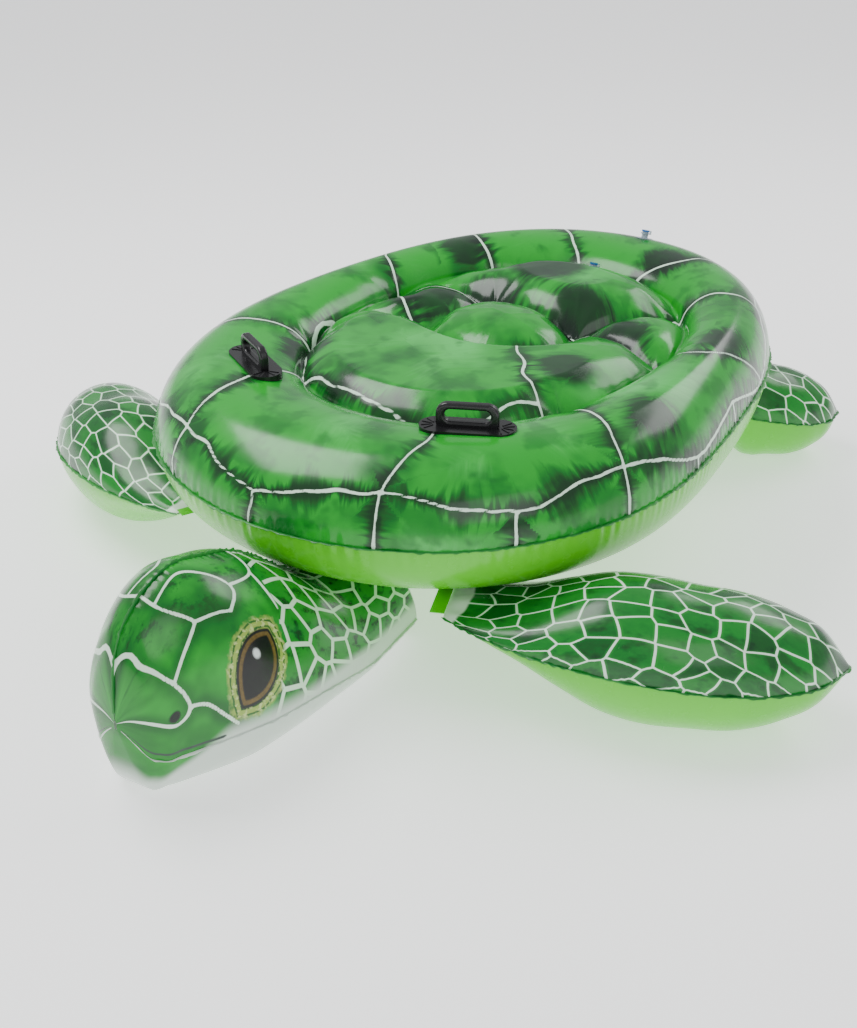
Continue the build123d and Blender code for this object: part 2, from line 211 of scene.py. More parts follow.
def tuft_folds(xy, reach=0.055, depth=0.0045):
    """Sharp little folds that fan out from each tuft."""
    total = np.zeros(len(xy))
    for k, (x, y, _) in enumerate(TUFTS.values()):
        dx, dy = xy[:, 0] - x, xy[:, 1] - y
        d = np.hypot(dx, dy)
        fan = np.arctan2(dy, dx) * (5 + k % 3) / 2 + k + 0.5 * noise(xy, 0.05, 40 + k)
        total += depth * (0.5 - np.abs(np.sin(fan))) * np.exp(-d / reach) * smooth_step(d / 0.012)
    return total


def hull_top():
    """Grid of points of the top sheet, from the seam inwards, and its pattern coordinates."""
    turn = np.linspace(0, 2 * pi, COLUMNS, endpoint=False)
    seam, crease = seam_xy(turn), crease_xy(turn)
    crest = (seam + crease) / 2
    rows, flat = [], []
    a = np.linspace(0, pi / 2, FLANK_ROWS)
    gather = 0.0011 * np.sin(turn * 210 + 3 * np.sin(turn * 9)) + 0.0008 * np.sin(turn * 137 + 1)
    lean = unit(seam - crest)
    width = np.hypot(*(seam - crest).T)
    for angle in a:
        share = 1 - cos(angle)
        xy = seam + (crest - seam) * share
        z = SEAM_Z + (CREST_Z - SEAM_Z) * sin(angle)
        fade = np.exp(-angle / 0.14) * smooth_step(angle / 0.03)
        xy = xy + lean * (gather * fade)[:, None]
        rows.append(np.column_stack((xy, np.full(COLUMNS, z))))
        arc = (pi / 2 - angle) * np.sqrt((width ** 2 + (CREST_Z - SEAM_Z) ** 2) / 2)
        flat.append(crest + lean * arc[:, None])
    rim_z = valley_height(crease)
    for u in np.linspace(0, 1, SLOPE_ROWS + 1)[1:]:
        k = sin(u * pi / 2)
        xy = crest + (crease - crest) * k
        drop = (CREST_Z - rim_z) * (1 - np.sqrt(np.maximum(1 - (0.985 * k) ** 2, 0)))
        rows.append(np.column_stack((xy, CREST_Z - drop)))
        flat.append(xy)
    lobes = seat_lobes()
    middle = np.array((0.0, SEAT_MID_Y))
    for u in np.linspace(0, 1, SEAT_ROWS + 1)[1:]:
        xy = middle + (crease - middle) * max(1 - u, 0.004)
        rows.append(np.column_stack((xy, lobes(xy))))
        flat.append(xy)
    points, plan = np.array(rows), np.array(flat)
    inner = points[FLANK_ROWS:]
    shape = inner.shape
    inner = inner.reshape(-1, 3)
    inner[:, 2] += tuft_folds(inner[:, :2])
    points[FLANK_ROWS:] = inner.reshape(shape)
    return points, plan


# ==== mesh building ==============================================================
def add_grid(name, points, wrap=True, fields=None, turn_over=False, cap=False, holes=()):
    """Mesh from rows of points; wrap closes each row, cap fills the last row's hole.

    holes are (middle, radius) of round openings in plan."""
    rows, columns = points.shape[:2]
    index = np.arange(rows * columns).reshape(rows, columns)
    if wrap:
        right = np.roll(index, -1, axis=1)
        quads = np.stack((index[:-1], right[:-1], right[1:], index[1:]), -1).reshape(-1, 4)
    else:
        quads = np.stack((index[:-1, :-1], index[:-1, 1:], index[1:, 1:], index[1:, :-1]),
                         -1).reshape(-1, 4)
    if turn_over:
        quads = quads[:, ::-1]
    middles = points.reshape(-1, 3)[quads].mean(1)
    for middle, radius in holes:
        quads = quads[np.hypot(*(middles - middle)[:, :2].T) > radius]
        middles = points.reshape(-1, 3)[quads].mean(1)
    faces = quads.tolist()
    if cap:
        last = index[-1].tolist()
        faces.append(last[::-1] if turn_over else last)
    mesh = bpy.data.meshes.new(name)
    mesh.from_pydata(points.reshape(-1, 3).tolist(), [], faces)
    mesh.polygons.foreach_set("use_smooth", [True] * len(mesh.polygons))
    for key, values in (fields or {}).items():
        values = np.asarray(values, float)
        if values.shape[-1] == 3 and values.ndim == 3:
            layer = mesh.attributes.new(key, "FLOAT_VECTOR", "POINT")
            layer.data.foreach_set("vector", values.reshape(-1).astype(np.float32))
        else:
            layer = mesh.attributes.new(key, "FLOAT", "POINT")
            layer.data.foreach_set("value", values.reshape(-1).astype(np.float32))
    mesh.update()
    piece = bpy.data.objects.new(name, mesh)
    bpy.context.scene.collection.objects.link(piece)
    return piece


def dress(piece, material, body, nodes=()):
    piece.data.materials.append(material)
    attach(piece, body)
    if nodes:
        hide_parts(*nodes)
    return piece


def add_weld(name, path, outward, up, reach=0.006, seed=0, jag=0.35):
    """Serrated weld flange along a closed or open edge: gathered, with two close faces."""
    n = len(path)
    steps = np.linalg.norm(np.diff(path, axis=0), axis=1)
    along = np.concatenate(([0], np.cumsum(steps)))
    line = np.stack((along, np.full(n, seed * 3.7)), -1)
    teeth = noise(line, 0.006, seed) * jag + noise(line, 0.017, seed + 5) * 0.25
    ripple = noise(line, 0.008, seed + 9) * 0.0009 + noise(line, 0.03, seed + 3) * 0.0007
    edge = path + outward * (reach * (0.85 + teeth))[:, None] + up * ripple[:, None] * 1.6
    middle = path + outward * (reach * 0.45) + up * ripple[:, None]
    half = up * 0.0006
    rows = [path - outward * 0.002 + half, path + half, middle + half, edge + half * 0.4,
            edge - half * 0.4, middle - half, path - half, path - outward * 0.002 - half]
    return add_grid(name, np.array(rows), wrap=False)


# ==== materials ==================================================================
class Nodes:
    """Short names for building a node material."""

    def __init__(self, name):
        self.material = bpy.data.materials.new(name)
        self.material.use_nodes = True
        self.tree = self.material.node_tree
        self.shader = self.tree.nodes["Principled BSDF"]

    def add(self, kind, settings=(), **inputs):
        node = self.tree.nodes.new("ShaderNode" + kind)
        for key, value in dict(settings).items():
            setattr(node, key, value)
        for key, value in inputs.items():
            self.put(node.inputs[key.replace("_", " ")], value)
        return node

    def put(self, socket, value):
        if isinstance(value, bpy.types.NodeSocket):
            self.tree.links.new(value, socket)
        else:
            socket.default_value = value

    def math(self, operation, a, b=0.0, c=0.0, clamp=False):
        node = self.tree.nodes.new("ShaderNodeMath")
        node.operation, node.use_clamp = operation, clamp
        for socket, value in zip(node.inputs, (a, b, c)):
            self.put(socket, value)
        return node.outputs[0]

    def field(self, name):
        return self.add("Attribute", {"attribute_name": name})

    def step(self, value, low, high):
        """0 below low, 1 above high, smooth between."""
        node = self.add("MapRange", {"interpolation_type": "SMOOTHSTEP"})
        for key, v in (("Value", value), ("From Min", low), ("From Max", high), ("To Min", 0.0),
                       ("To Max", 1.0)):
            self.put(node.inputs[key], v)
        return node.outputs[0]

    def mix(self, share, a, b):
        node = self.tree.nodes.new("ShaderNodeMix")
        node.data_type = "RGBA"
        self.put(node.inputs[0], share)
        self.put(node.inputs[6], a)
        self.put(node.inputs[7], b)
        return node.outputs[2]

    def grain(self, where, scale, detail=3.0, rough=0.55):
        node = self.add("TexNoise", Scale=scale, Detail=detail, Roughness=rough)
        if where is not None:
            self.put(node.inputs["Vector"], where)
        return node.outputs["Fac"]

    def vector(self, x, y, z=0.0):
        node = self.tree.nodes.new("ShaderNodeCombineXYZ")
        for socket, value in zip(node.inputs, (x, y, z)):
            self.put(socket, value)
        return node.outputs[0]

    def vinyl(self, colour, roughness=0.27, wave=0.15):
        """Soft semi-gloss film: fine dull grain, slow waves from the inflation."""
        place = self.add("TexCoord").outputs["Object"]
        fine = self.grain(place, 900.0, 2.0)
        slow = self.grain(place, 16.0, 2.0)
        height = self.math("ADD", self.math("MULTIPLY", fine, 0.06), self.math("MULTIPLY", slow, 1.6))
        bump = self.add("Bump", Strength=wave, Distance=0.002, Height=height)
        self.put(self.shader.inputs["Normal"], bump.outputs[0])
        self.put(self.shader.inputs["Base Color"], colour)
        rough = self.math("ADD", self.math("MULTIPLY", self.grain(place, 40.0), 0.12), roughness - 0.06)
        self.put(self.shader.inputs["Roughness"], rough)
        self.shader.inputs["Specular IOR Level"].default_value = 0.38
        self.shader.inputs["Coat Weight"].default_value = 0.12
        self.shader.inputs["Coat Roughness"].default_value = 0.12
        return self.material


DEEP, MID, LIGHT = (0.002, 0.130, 0.012, 1), (0.007, 0.350, 0.022, 1), (0.060, 0.560, 0.090, 1)
INK, VEIN = (0.004, 0.014, 0.008, 1), (0.74, 0.96, 0.76, 1)
LEAF = (0.120, 0.640, 0.020, 1)


def shell_material():
    """Large scutes: white veins, ink haloes drawn in brush strokes, brighter middles, and painted shade in
    the seat's hollows.
    """
    n = Nodes("printed_shell")
    plan = n.field("plan").outputs["Vector"]
    vein = n.field("vein").outputs["Fac"]
    along = n.field("along").outputs["Fac"]
    wobble = n.math("MULTIPLY", n.math("SUBTRACT", n.grain(plan, 60.0), 0.5), 0.0022)
    d = n.math("ADD", vein, wobble)
    stroke = n.grain(n.vector(n.math("MULTIPLY", along, 70.0), n.math("MULTIPLY", d, 9.0)), 1.0, 3.0, 0.6)
    broad = n.grain(n.vector(n.math("MULTIPLY", along, 16.0), n.math("MULTIPLY", d, 5.0)), 1.0, 2.0)
    patch = n.grain(plan, 7.0, 3.0)
    glow = n.grain(plan, 4.2, 1.0)
    body = n.mix(n.step(patch, 0.30, 0.54), DEEP, MID)
    body = n.mix(n.math("MULTIPLY", n.step(n.math("ADD", glow, n.math("MULTIPLY", stroke, 0.25)), 0.62, 0.88),
                        n.step(d, 0.03, 0.08)), body, LIGHT)
    depth = n.math("ADD", n.math("MULTIPLY", n.step(broad, 0.42, 0.72), 0.055),
                   n.math("MULTIPLY", n.step(stroke, 0.35, 0.75), 0.038))
    shade = n.math("SUBTRACT", 1.0, n.step(n.math("DIVIDE", d, n.math("ADD", depth, 0.006)), 0.1, 1.0))
    halo = n.mix(n.math("MULTIPLY", shade, 0.93), body, INK)
    green_ink = n.mix(n.math("MULTIPLY", n.step(n.grain(plan, 11.0), 0.52, 0.62), 0.55), halo, DEEP)
    blot_place = n.vector(n.math("MULTIPLY", along, 9.0), n.math("MULTIPLY", d, 12.0), 3.0)
    blot = n.math("MULTIPLY", n.step(n.grain(blot_place, 1.0), 0.60, 0.72), 0.5)
    coloured = n.mix(blot, green_ink, INK)
    # painted shade: ink laid into the seat's hollows, its edge broken up by the brush strokes
    rough_edge = n.math("MULTIPLY", n.math("SUBTRACT", stroke, 0.5), 0.8)
    hollow_shade_mask = n.math("ADD", n.field("hollow_shade").outputs["Fac"], rough_edge)
    coloured = n.mix(n.math("MULTIPLY", n.step(hollow_shade_mask, 0.22, 0.62), 0.9), coloured, INK)
    line = n.math("SUBTRACT", 1.0, n.step(d, 0.0019, 0.0030))
    return n.vinyl(n.mix(line, coloured, VEIN), 0.20)


def scale_material(name, scale, line=0.040, dark=0.6):
    """Small scales: white-edged cells with dark blotched middles, for the flippers."""
    n = Nodes(name)
    place = n.field("scute").outputs["Vector"]
    warp = n.add("TexNoise", Scale=9.0, Detail=1.0)
    n.put(warp.inputs["Vector"], place)
    shift = n.add("VectorMath", {"operation": "MULTIPLY_ADD"})
    n.put(shift.inputs[0], warp.outputs["Color"])
    shift.inputs[1].default_value = (0.03, 0.03, 0.0)
    n.put(shift.inputs[2], place)
    where = shift.outputs[0]
    edge = n.add("TexVoronoi", {"voronoi_dimensions": "2D", "feature": "DISTANCE_TO_EDGE"}, Scale=scale,
                 Randomness=0.72)
    cell = n.add("TexVoronoi", {"voronoi_dimensions": "2D", "feature": "F1"}, Scale=scale, Randomness=0.72)
    for node in (edge, cell):
        n.put(node.inputs["Vector"], where)
    d = edge.outputs["Distance"]
    tint = n.add("SeparateColor")
    n.put(tint.inputs[0], cell.outputs["Color"])
    streak = n.grain(place, 90.0, 3.0)
    body = n.mix(n.step(n.math("ADD", tint.outputs[0], n.math("MULTIPLY", streak, 0.5)), 0.35, 1.1),
                 (0.002, 0.085, 0.012, 1), (0.006, 0.22, 0.020, 1))
    ink = n.math("MULTIPLY", n.step(n.grain(place, 30.0, 3.0), 0.50, 0.66), dark)
    body = n.mix(ink, body, (0.002, 0.018, 0.008, 1))
    rim = n.math("SUBTRACT", 1.0, n.step(d, line * 0.9, line * 3.2))
    body = n.mix(n.math("MULTIPLY", rim, 0.35), body, (0.03, 0.36, 0.05, 1))
    colour = n.mix(n.math("SUBTRACT", 1.0, n.step(d, line * 0.75, line * 1.15)), body, VEIN)
    root = n.field("root").outputs["Fac"]
    colour = n.mix(n.math("SUBTRACT", 1.0, n.step(root, 0.024, 0.030)), colour, (0.86, 0.93, 0.87, 1))
    return n.vinyl(colour, 0.25)


def cheek_material():
    """Face: large front scutes, small scales behind, lidded eye, nostril, pale chin."""
    n = Nodes("printed_cheek")
    plan = n.field("plan").outputs["Vector"]
    d = n.math("ADD", n.field("vein").outputs["Fac"],
               n.math("MULTIPLY", n.math("SUBTRACT", n.grain(plan, 60.0), 0.5), 0.0016))
    behind = n.field("behind").outputs["Fac"]
    speck = n.grain(plan, 26.0, 4.0, 0.7)
    body = n.mix(n.step(n.grain(plan, 9.0), 0.35, 0.62), (0.003, 0.16, 0.012, 1), (0.010, 0.36, 0.022, 1))
    rise = n.field("rise").outputs["Fac"]
    dark = n.math("MULTIPLY", n.step(speck, 0.50, 0.64), n.step(rise, 0.30, 0.85))
    body = n.mix(n.math("MULTIPLY", dark, 0.75), body, (0.002, 0.028, 0.008, 1))
    body = n.mix(n.math("MULTIPLY", n.math("SUBTRACT", 1.0, n.step(d, 0.004, 0.022)), 0.55), body,
                 (0.002, 0.06, 0.010, 1))
    big = n.mix(n.math("SUBTRACT", 1.0, n.step(d, 0.0020, 0.0030)), body, VEIN)
    edge = n.add("TexVoronoi", {"voronoi_dimensions": "2D", "feature": "DISTANCE_TO_EDGE"}, Scale=21.0,
                 Randomness=0.75)
    n.put(edge.inputs["Vector"], plan)
    gap = edge.outputs["Distance"]
    small = n.mix(n.step(n.grain(plan, 45.0, 3.0), 0.48, 0.66),
                  (0.006, 0.24, 0.020, 1), (0.002, 0.05, 0.010, 1))
    small = n.mix(n.math("SUBTRACT", 1.0, n.step(gap, 0.060, 0.085)), small, (0.66, 0.93, 0.66, 1))
    colour = n.mix(n.step(behind, -0.002, 0.002), big, small)
    chin = n.field("chin").outputs["Fac"]
    colour = n.mix(n.math("SUBTRACT", 1.0, n.step(chin, -0.004, 0.022)), colour, (0.66, 0.76, 0.67, 1))
    # lids, iris and pupil
    lid, eye = n.field("lid").outputs["Fac"], n.field("eye").outputs["Fac"]
    crease = n.math("SINE", n.math("ADD", n.math("MULTIPLY", lid, 34.0),
                                   n.math("MULTIPLY", n.grain(plan, 50.0), 5.0)))
    skin = n.mix(n.step(crease, 0.1, 0.9), (0.30, 0.44, 0.07, 1), (0.025, 0.12, 0.018, 1))
    skin = n.mix(n.step(n.grain(plan, 120.0), 0.50, 0.62), skin, (0.52, 0.62, 0.22, 1))
    around = n.math("ADD", lid, n.math("MULTIPLY", n.math("SUBTRACT", n.grain(plan, 80.0), 0.5), 0.35))
    colour = n.mix(n.math("SUBTRACT", 1.0, n.step(around, 0.90, 1.08)), colour, skin)
    colour = n.mix(n.math("SUBTRACT", 1.0, n.step(eye, 1.30, 1.44)), colour, (0.003, 0.006, 0.003, 1))
    iris = n.mix(n.grain(plan, 160.0), (0.05, 0.028, 0.006, 1), (0.20, 0.13, 0.025, 1))
    colour = n.mix(n.math("SUBTRACT", 1.0, n.step(eye, 1.16, 1.24)), colour, iris)
    colour = n.mix(n.math("SUBTRACT", 1.0, n.step(eye, 0.92, 1.04)), colour, (0.001, 0.001, 0.001, 1))
    glint = n.field("glint").outputs["Fac"]
    colour = n.mix(n.math("SUBTRACT", 1.0, n.step(glint, 0.004, 0.009)), colour, (0.75, 0.80, 0.78, 1))
    nostril = n.field("nostril").outputs["Fac"]
    colour = n.mix(n.math("SUBTRACT", 1.0, n.step(nostril, 0.006, 0.010)), colour, (0.002, 0.010, 0.004, 1))
    mouth = n.field("mouth").outputs["Fac"]
    colour = n.mix(n.math("SUBTRACT", 1.0, n.step(mouth, 0.0012, 0.0030)), colour, (0.03, 0.05, 0.04, 1))
    return n.vinyl(colour, 0.22)


def plain_vinyl(name, colour, second, roughness=0.26):
    n = Nodes(name)
    place = n.add("TexCoord").outputs["Object"]
    return n.vinyl(n.mix(n.step(n.grain(place, 3.0, 2.0), 0.35, 0.65), colour, second), roughness, 0.12)


def moulded(name, colour, roughness, transmission=0.0):
    n = Nodes(name)
    place = n.add("TexCoord").outputs["Object"]
    n.put(n.shader.inputs["Base Color"],
          n.mix(n.step(n.grain(place, 60.0), 0.3, 0.7), colour, tuple(c * 0.8 for c in colour[:3]) + (1,)))
    bump = n.add("Bump", Strength=0.12, Distance=0.001, Height=n.grain(place, 350.0, 3.0))
    n.put(n.shader.inputs["Normal"], bump.outputs[0])
    rough = n.math("ADD", n.math("MULTIPLY", n.grain(place, 90.0), 0.12), roughness)
    n.put(n.shader.inputs["Roughness"], rough)
    n.shader.inputs["Transmission Weight"].default_value = transmission
    return n.material


SHELL = shell_material()
SCALES = scale_material("printed_scales", 32.0)
CHEEK = cheek_material()
GREEN = plain_vinyl("green_film", LEAF, (0.10, 0.58, 0.015, 1))
WHITE = plain_vinyl("white_film", (0.68, 0.77, 0.69, 1), (0.62, 0.72, 0.63, 1))
CLEAR_FILM = plain_vinyl("inner_film", (0.55, 0.70, 0.55, 1), (0.50, 0.66, 0.50, 1))
WELD = plain_vinyl("weld_film", (0.045, 0.33, 0.055, 1), (0.02, 0.20, 0.035, 1), 0.34)
BLACK = moulded("black_moulding", (0.010, 0.010, 0.011, 1), 0.20)
BLUE = moulded("blue_moulding", (0.03, 0.20, 0.62, 1), 0.16, transmission=0.35)
FROSTED = moulded("frosted_moulding", (0.60, 0.72, 0.80, 1), 0.22, transmission=0.45)

# ==== hull =======================================================================
# The shell's print, in the hull's own plan with the flank unrolled: x, y from its middle.
EDGE_SCUTES = 18         # small scutes round the shell's edge
EDGE_R, EDGE_LONG, EDGE_ZIGZAG = 0.59, 0.09, 0.02


def edge_corner(k, out=0.0):
    """Corner k of the line round the shell; out moves it towards the weld."""
    turn = 2 * pi * k / EDGE_SCUTES
    r = EDGE_R * (1 + EDGE_LONG * cos(2 * turn)) + EDGE_ZIGZAG * (-1) ** k + out
    return r * sin(turn), -r * cos(turn)


# Veins that cross the ring: the edge corner that each starts from, then where it goes.
RING_VEINS = (
    (-1, (-0.20, -0.40), (-0.18, -0.30)), (1, (0.20, -0.42), (0.16, -0.34)),
    (3, tuft("left_front")), (6, (0.40, 0.12), tuft("left")), (7, tuft("left_rear")),
    (8, (0.06, 0.46)), (10, (-0.04, 0.44)), (11, tuft("right_rear")), (12, tuft("right")),
    (15, tuft("right_front")),
)
SEAT_VEINS = (
    ((-0.18, -0.30), (0.0, -0.34), (0.16, -0.34)),
    ((-0.18, -0.30), tuft("right_front"), (-0.30, -0.04), tuft("inner_right")),
    (tuft("inner_right"), tuft("right"), tuft("inner_rear")),
    (tuft("inner_rear"), tuft("middle"), tuft("left_rear")),
    (tuft("middle"), tuft("left")),
    ((0.16, 0.18), (0.12, 0.06), (0.06, 0.0)),
    ((0.10, -0.04), (0.24, -0.18), tuft("left_front")),
    ((0.24, -0.18), (0.16, -0.34)),
)


def shell_veins():
    ring = [edge_corner(k) for k in range(EDGE_SCUTES + 1)]
    across = [(edge_corner(start), *path) for start, *path in RING_VEINS]
    edge = [(edge_corner(k), edge_corner(k, 0.25)) for k in range(EDGE_SCUTES)]
    return [curve(line, 5) for line in (ring, *across, *SEAT_VEINS, *edge)]


# Where the valves pass through the top film.
VALVES = ((0.0, 0.612, 0.4215), (-0.012, 0.42, 0.4025))
# Hollows of the seat where painted shade darkens the print: x, y, radius.
SHADED_HOLLOWS = ((-0.22, 0.14, 0.08), (-0.14, 0.22, 0.08), (0.06, 0.24, 0.08), (0.20, 0.20, 0.06),
           (-0.08, 0.34, 0.08), (0.22, -0.06, 0.06), (0.10, 0.52, 0.06), (0.44, -0.14, 0.06),
           (-0.24, -0.22, 0.06), (0.40, 0.20, 0.06), (-0.30, 0.36, 0.06))


def vein_fields(plan, lines, wander=0.006, seed=3):
    """Distance to the nearest vein and a running coordinate along it."""
    shape = plan.shape[:-1]
    p = plan.reshape(-1, 2)
    p = p + np.stack((noise(p, 0.045, seed), noise(p, 0.045, seed + 1)), -1) * wander
    best, run = np.full(len(p), 1e9), np.zeros(len(p))
    for k, line in enumerate(lines):
        near = np.where(np.hypot(*(p - line.mean(0)).T) < np.ptp(line, axis=0).max() + 0.2)[0]
        if len(near) == 0:
            continue
        d, share = line_distance(p[near], line)
        length = np.linalg.norm(np.diff(line, axis=0), axis=1).sum()
        closer = d < best[near]
        pick = near[closer]
        best[pick] = d[closer]
        run[pick] = share[closer] * length + 0.731 * k
    return best.reshape(shape), run.reshape(shape)


top_points, top_plan = hull_top()
vein, run = vein_fields(top_plan, shell_veins())
# painted shade mask for the hollows: 1 in each middle, falling to 0 at one and a half radii
hollow_shade = np.zeros(top_plan.shape[:2])
for spot_x, spot_y, spot_r in SHADED_HOLLOWS:
    spot_d = np.hypot(top_plan[..., 0] - spot_x, top_plan[..., 1] - spot_y)
    hollow_shade = np.maximum(hollow_shade, 1 - spot_d / spot_r / 1.5)
plan3 = np.concatenate((top_plan, np.zeros(top_plan.shape[:2] + (1,))), -1)
hull_sheet = add_grid("hull_top_film", hull_place(top_points), True,
                      {"vein": vein, "along": run, "plan": plan3, "hollow_shade": hollow_shade}, cap=True,
                      holes=[(hull_place(np.array(at)), 0.0165) for at in VALVES])
dress(hull_sheet, SHELL, "hull", ("hull_top_sheet",))


def hull_bottom():
    turn = np.linspace(0, 2 * pi, COLUMNS, endpoint=False)
    seam, crease = seam_xy(turn), crease_xy(turn)
    gather = 0.0012 * np.sin(turn * 190 + 2 * np.sin(turn * 11)) + 0.0008 * np.sin(turn * 143)
    lean = unit(seam - crease)
    rows = []
    for angle in np.linspace(0, pi / 2, 44):
        xy = seam + (crease - seam) / 2 * (1 - cos(angle))
        fade = np.exp(-angle / 0.16) * smooth_step(angle / 0.03)
        z = SEAM_Z - (SEAM_Z - BELLY_Z) * sin(angle)
        rows.append(np.column_stack((xy + lean * (gather * fade)[:, None], np.full(COLUMNS, z))))
    inner = rows[-1][:, :2]
    for share in np.linspace(1, 0.02, 30)[1:]:
        xy = inner * share + np.array((0, 0.05)) * (1 - share)
        sag = 0.0016 * noise(xy, 0.12, 21) * (1 - share)
        rows.append(np.column_stack((xy, BELLY_Z + 0.002 + sag)))
    return np.array(rows)


belly = add_grid("hull_bottom_film", hull_place(hull_bottom()), True, turn_over=True, cap=True)
dress(belly, GREEN, "hull", ("hull_bottom_sheet",))

turn = np.linspace(0, 2 * pi, 1801)
rim = np.column_stack((seam_xy(turn), np.full(len(turn), SEAM_Z)))
rim_out = np.column_stack((unit(seam_xy(turn)), np.zeros(len(turn))))
weld = add_weld("hull_weld", hull_place(rim), rim_out, np.array((0, 0, 1.0)), 0.0062, 1)
dress(weld, WELD, "hull", ("hull_weld_flange",))


def inner_wall(name, line, node):
    """Strip of clear film inside the hull, from the belly up to a valley of the seat."""
    path = curve(line, 12)
    top = valley_height(path) - 0.004
    rows = [np.column_stack((path, BELLY_Z + 0.004 + (top - BELLY_Z - 0.004) * k))
            for k in np.linspace(0, 1, 9)]
    rows = np.array(rows)
    rows[:, :, 0] += 0.004 * noise(rows[:, :, 1:], 0.07, 31)
    return dress(add_grid(name, hull_place(rows), wrap=False), CLEAR_FILM, "hull", (node,))


inner_wall("inner_wall_ring", crease_xy(np.linspace(0, 2 * pi, 60)) * 0.985, "seat_ring_wall")
inner_wall("inner_wall_front", VALLEYS[1], "seat_strip_front")
inner_wall("inner_wall_left", VALLEYS[2], "seat_strip_left")
inner_wall("inner_wall_rear", VALLEYS[3], "seat_strip_rear")
inner_wall("inner_wall_right", VALLEYS[0], "seat_strip_right")

# ==== flippers ===================================================================
# Along a flipper: share of its length, share of its half width, half thickness at front, rear.
FLIPPER_FORM = (
    (0, 0.51, 0.003, 0.003), (0.10, 0.68, 0.024, 0.018), (0.20, 0.81, 0.048, 0.033),
    (0.30, 0.91, 0.083, 0.054), (0.40, 0.97, 0.113, 0.084), (0.50, 1, 0.1233, 0.110),
    (0.62, 0.98, 0.118, 0.1024), (0.74, 0.87, 0.112, 0.0956), (0.85, 0.68, 0.088, 0.076),
    (0.94, 0.42, 0.053, 0.045), (1, 0.04, 0.003, 0.003),
)
# Root, tip, bow to the front, height of the tip's weld, half width, column of the form.
FLIPPERS = {"front": ((0.268, -0.3423), (0.850, -0.0813), 0.032, 0.1113, 0.137, 2),
            "rear": ((0.095, 0.6197), (0.420, 0.8773), 0.010, 0.0895, 0.110, 3)}
FLIPPER_COLUMNS = 97     # points across each half
SCALE_STRETCH = 0.62     # pattern steps along the flipper; below 1 the scales grow longer
ROLL = radians(8)        # how far the front edge is raised


def form_at(where, table, column):
    """Smooth reading of a table's column at positions given in its first column."""
    t = np.array([row[0] for row in table], float)
    v = np.array([row[column] for row in table], float)
    slope = np.gradient(v, t)
    i = np.clip(np.searchsorted(t, where, side="right") - 1, 0, len(t) - 2)
    gap = t[i + 1] - t[i]
    u = (where - t[i]) / gap
    value = (v[i] * (1 + 2 * u) * (1 - u) ** 2 + slope[i] * gap * u * (1 - u) ** 2
             + v[i + 1] * u * u * (3 - 2 * u) + slope[i + 1] * gap * u * u * (u - 1))
    return np.clip(value, v.min(), v.max())


def flipper_frame(place, share):
    root, tip, bow, tip_z, half_width, column = FLIPPERS[place]
    root, tip = np.array(root), np.array(tip)
    length = np.linalg.norm(tip - root)
    along = (tip - root) / length
    lead = np.array((along[1], -along[0]))
    plan = root + along * length * share[:, None] + lead * (4 * bow * share * (1 - share))[:, None]
    root_z = 0.170 + (root[1] - HULL_Y) * sin(HULL_TILT) / cos(HULL_TILT)
    z = tip_z + (root_z - tip_z) * (1 - share) ** 2
    tilt = ROLL * np.sin(pi * share)
    middle = np.column_stack((plan, z))
    cross = np.column_stack((lead[0] * np.cos(tilt), lead[1] * np.cos(tilt), np.sin(tilt)))
    reach = half_width * form_at(share, FLIPPER_FORM, 1)
    thick = form_at(share, FLIPPER_FORM, column)
    return middle, cross, reach, thick, length


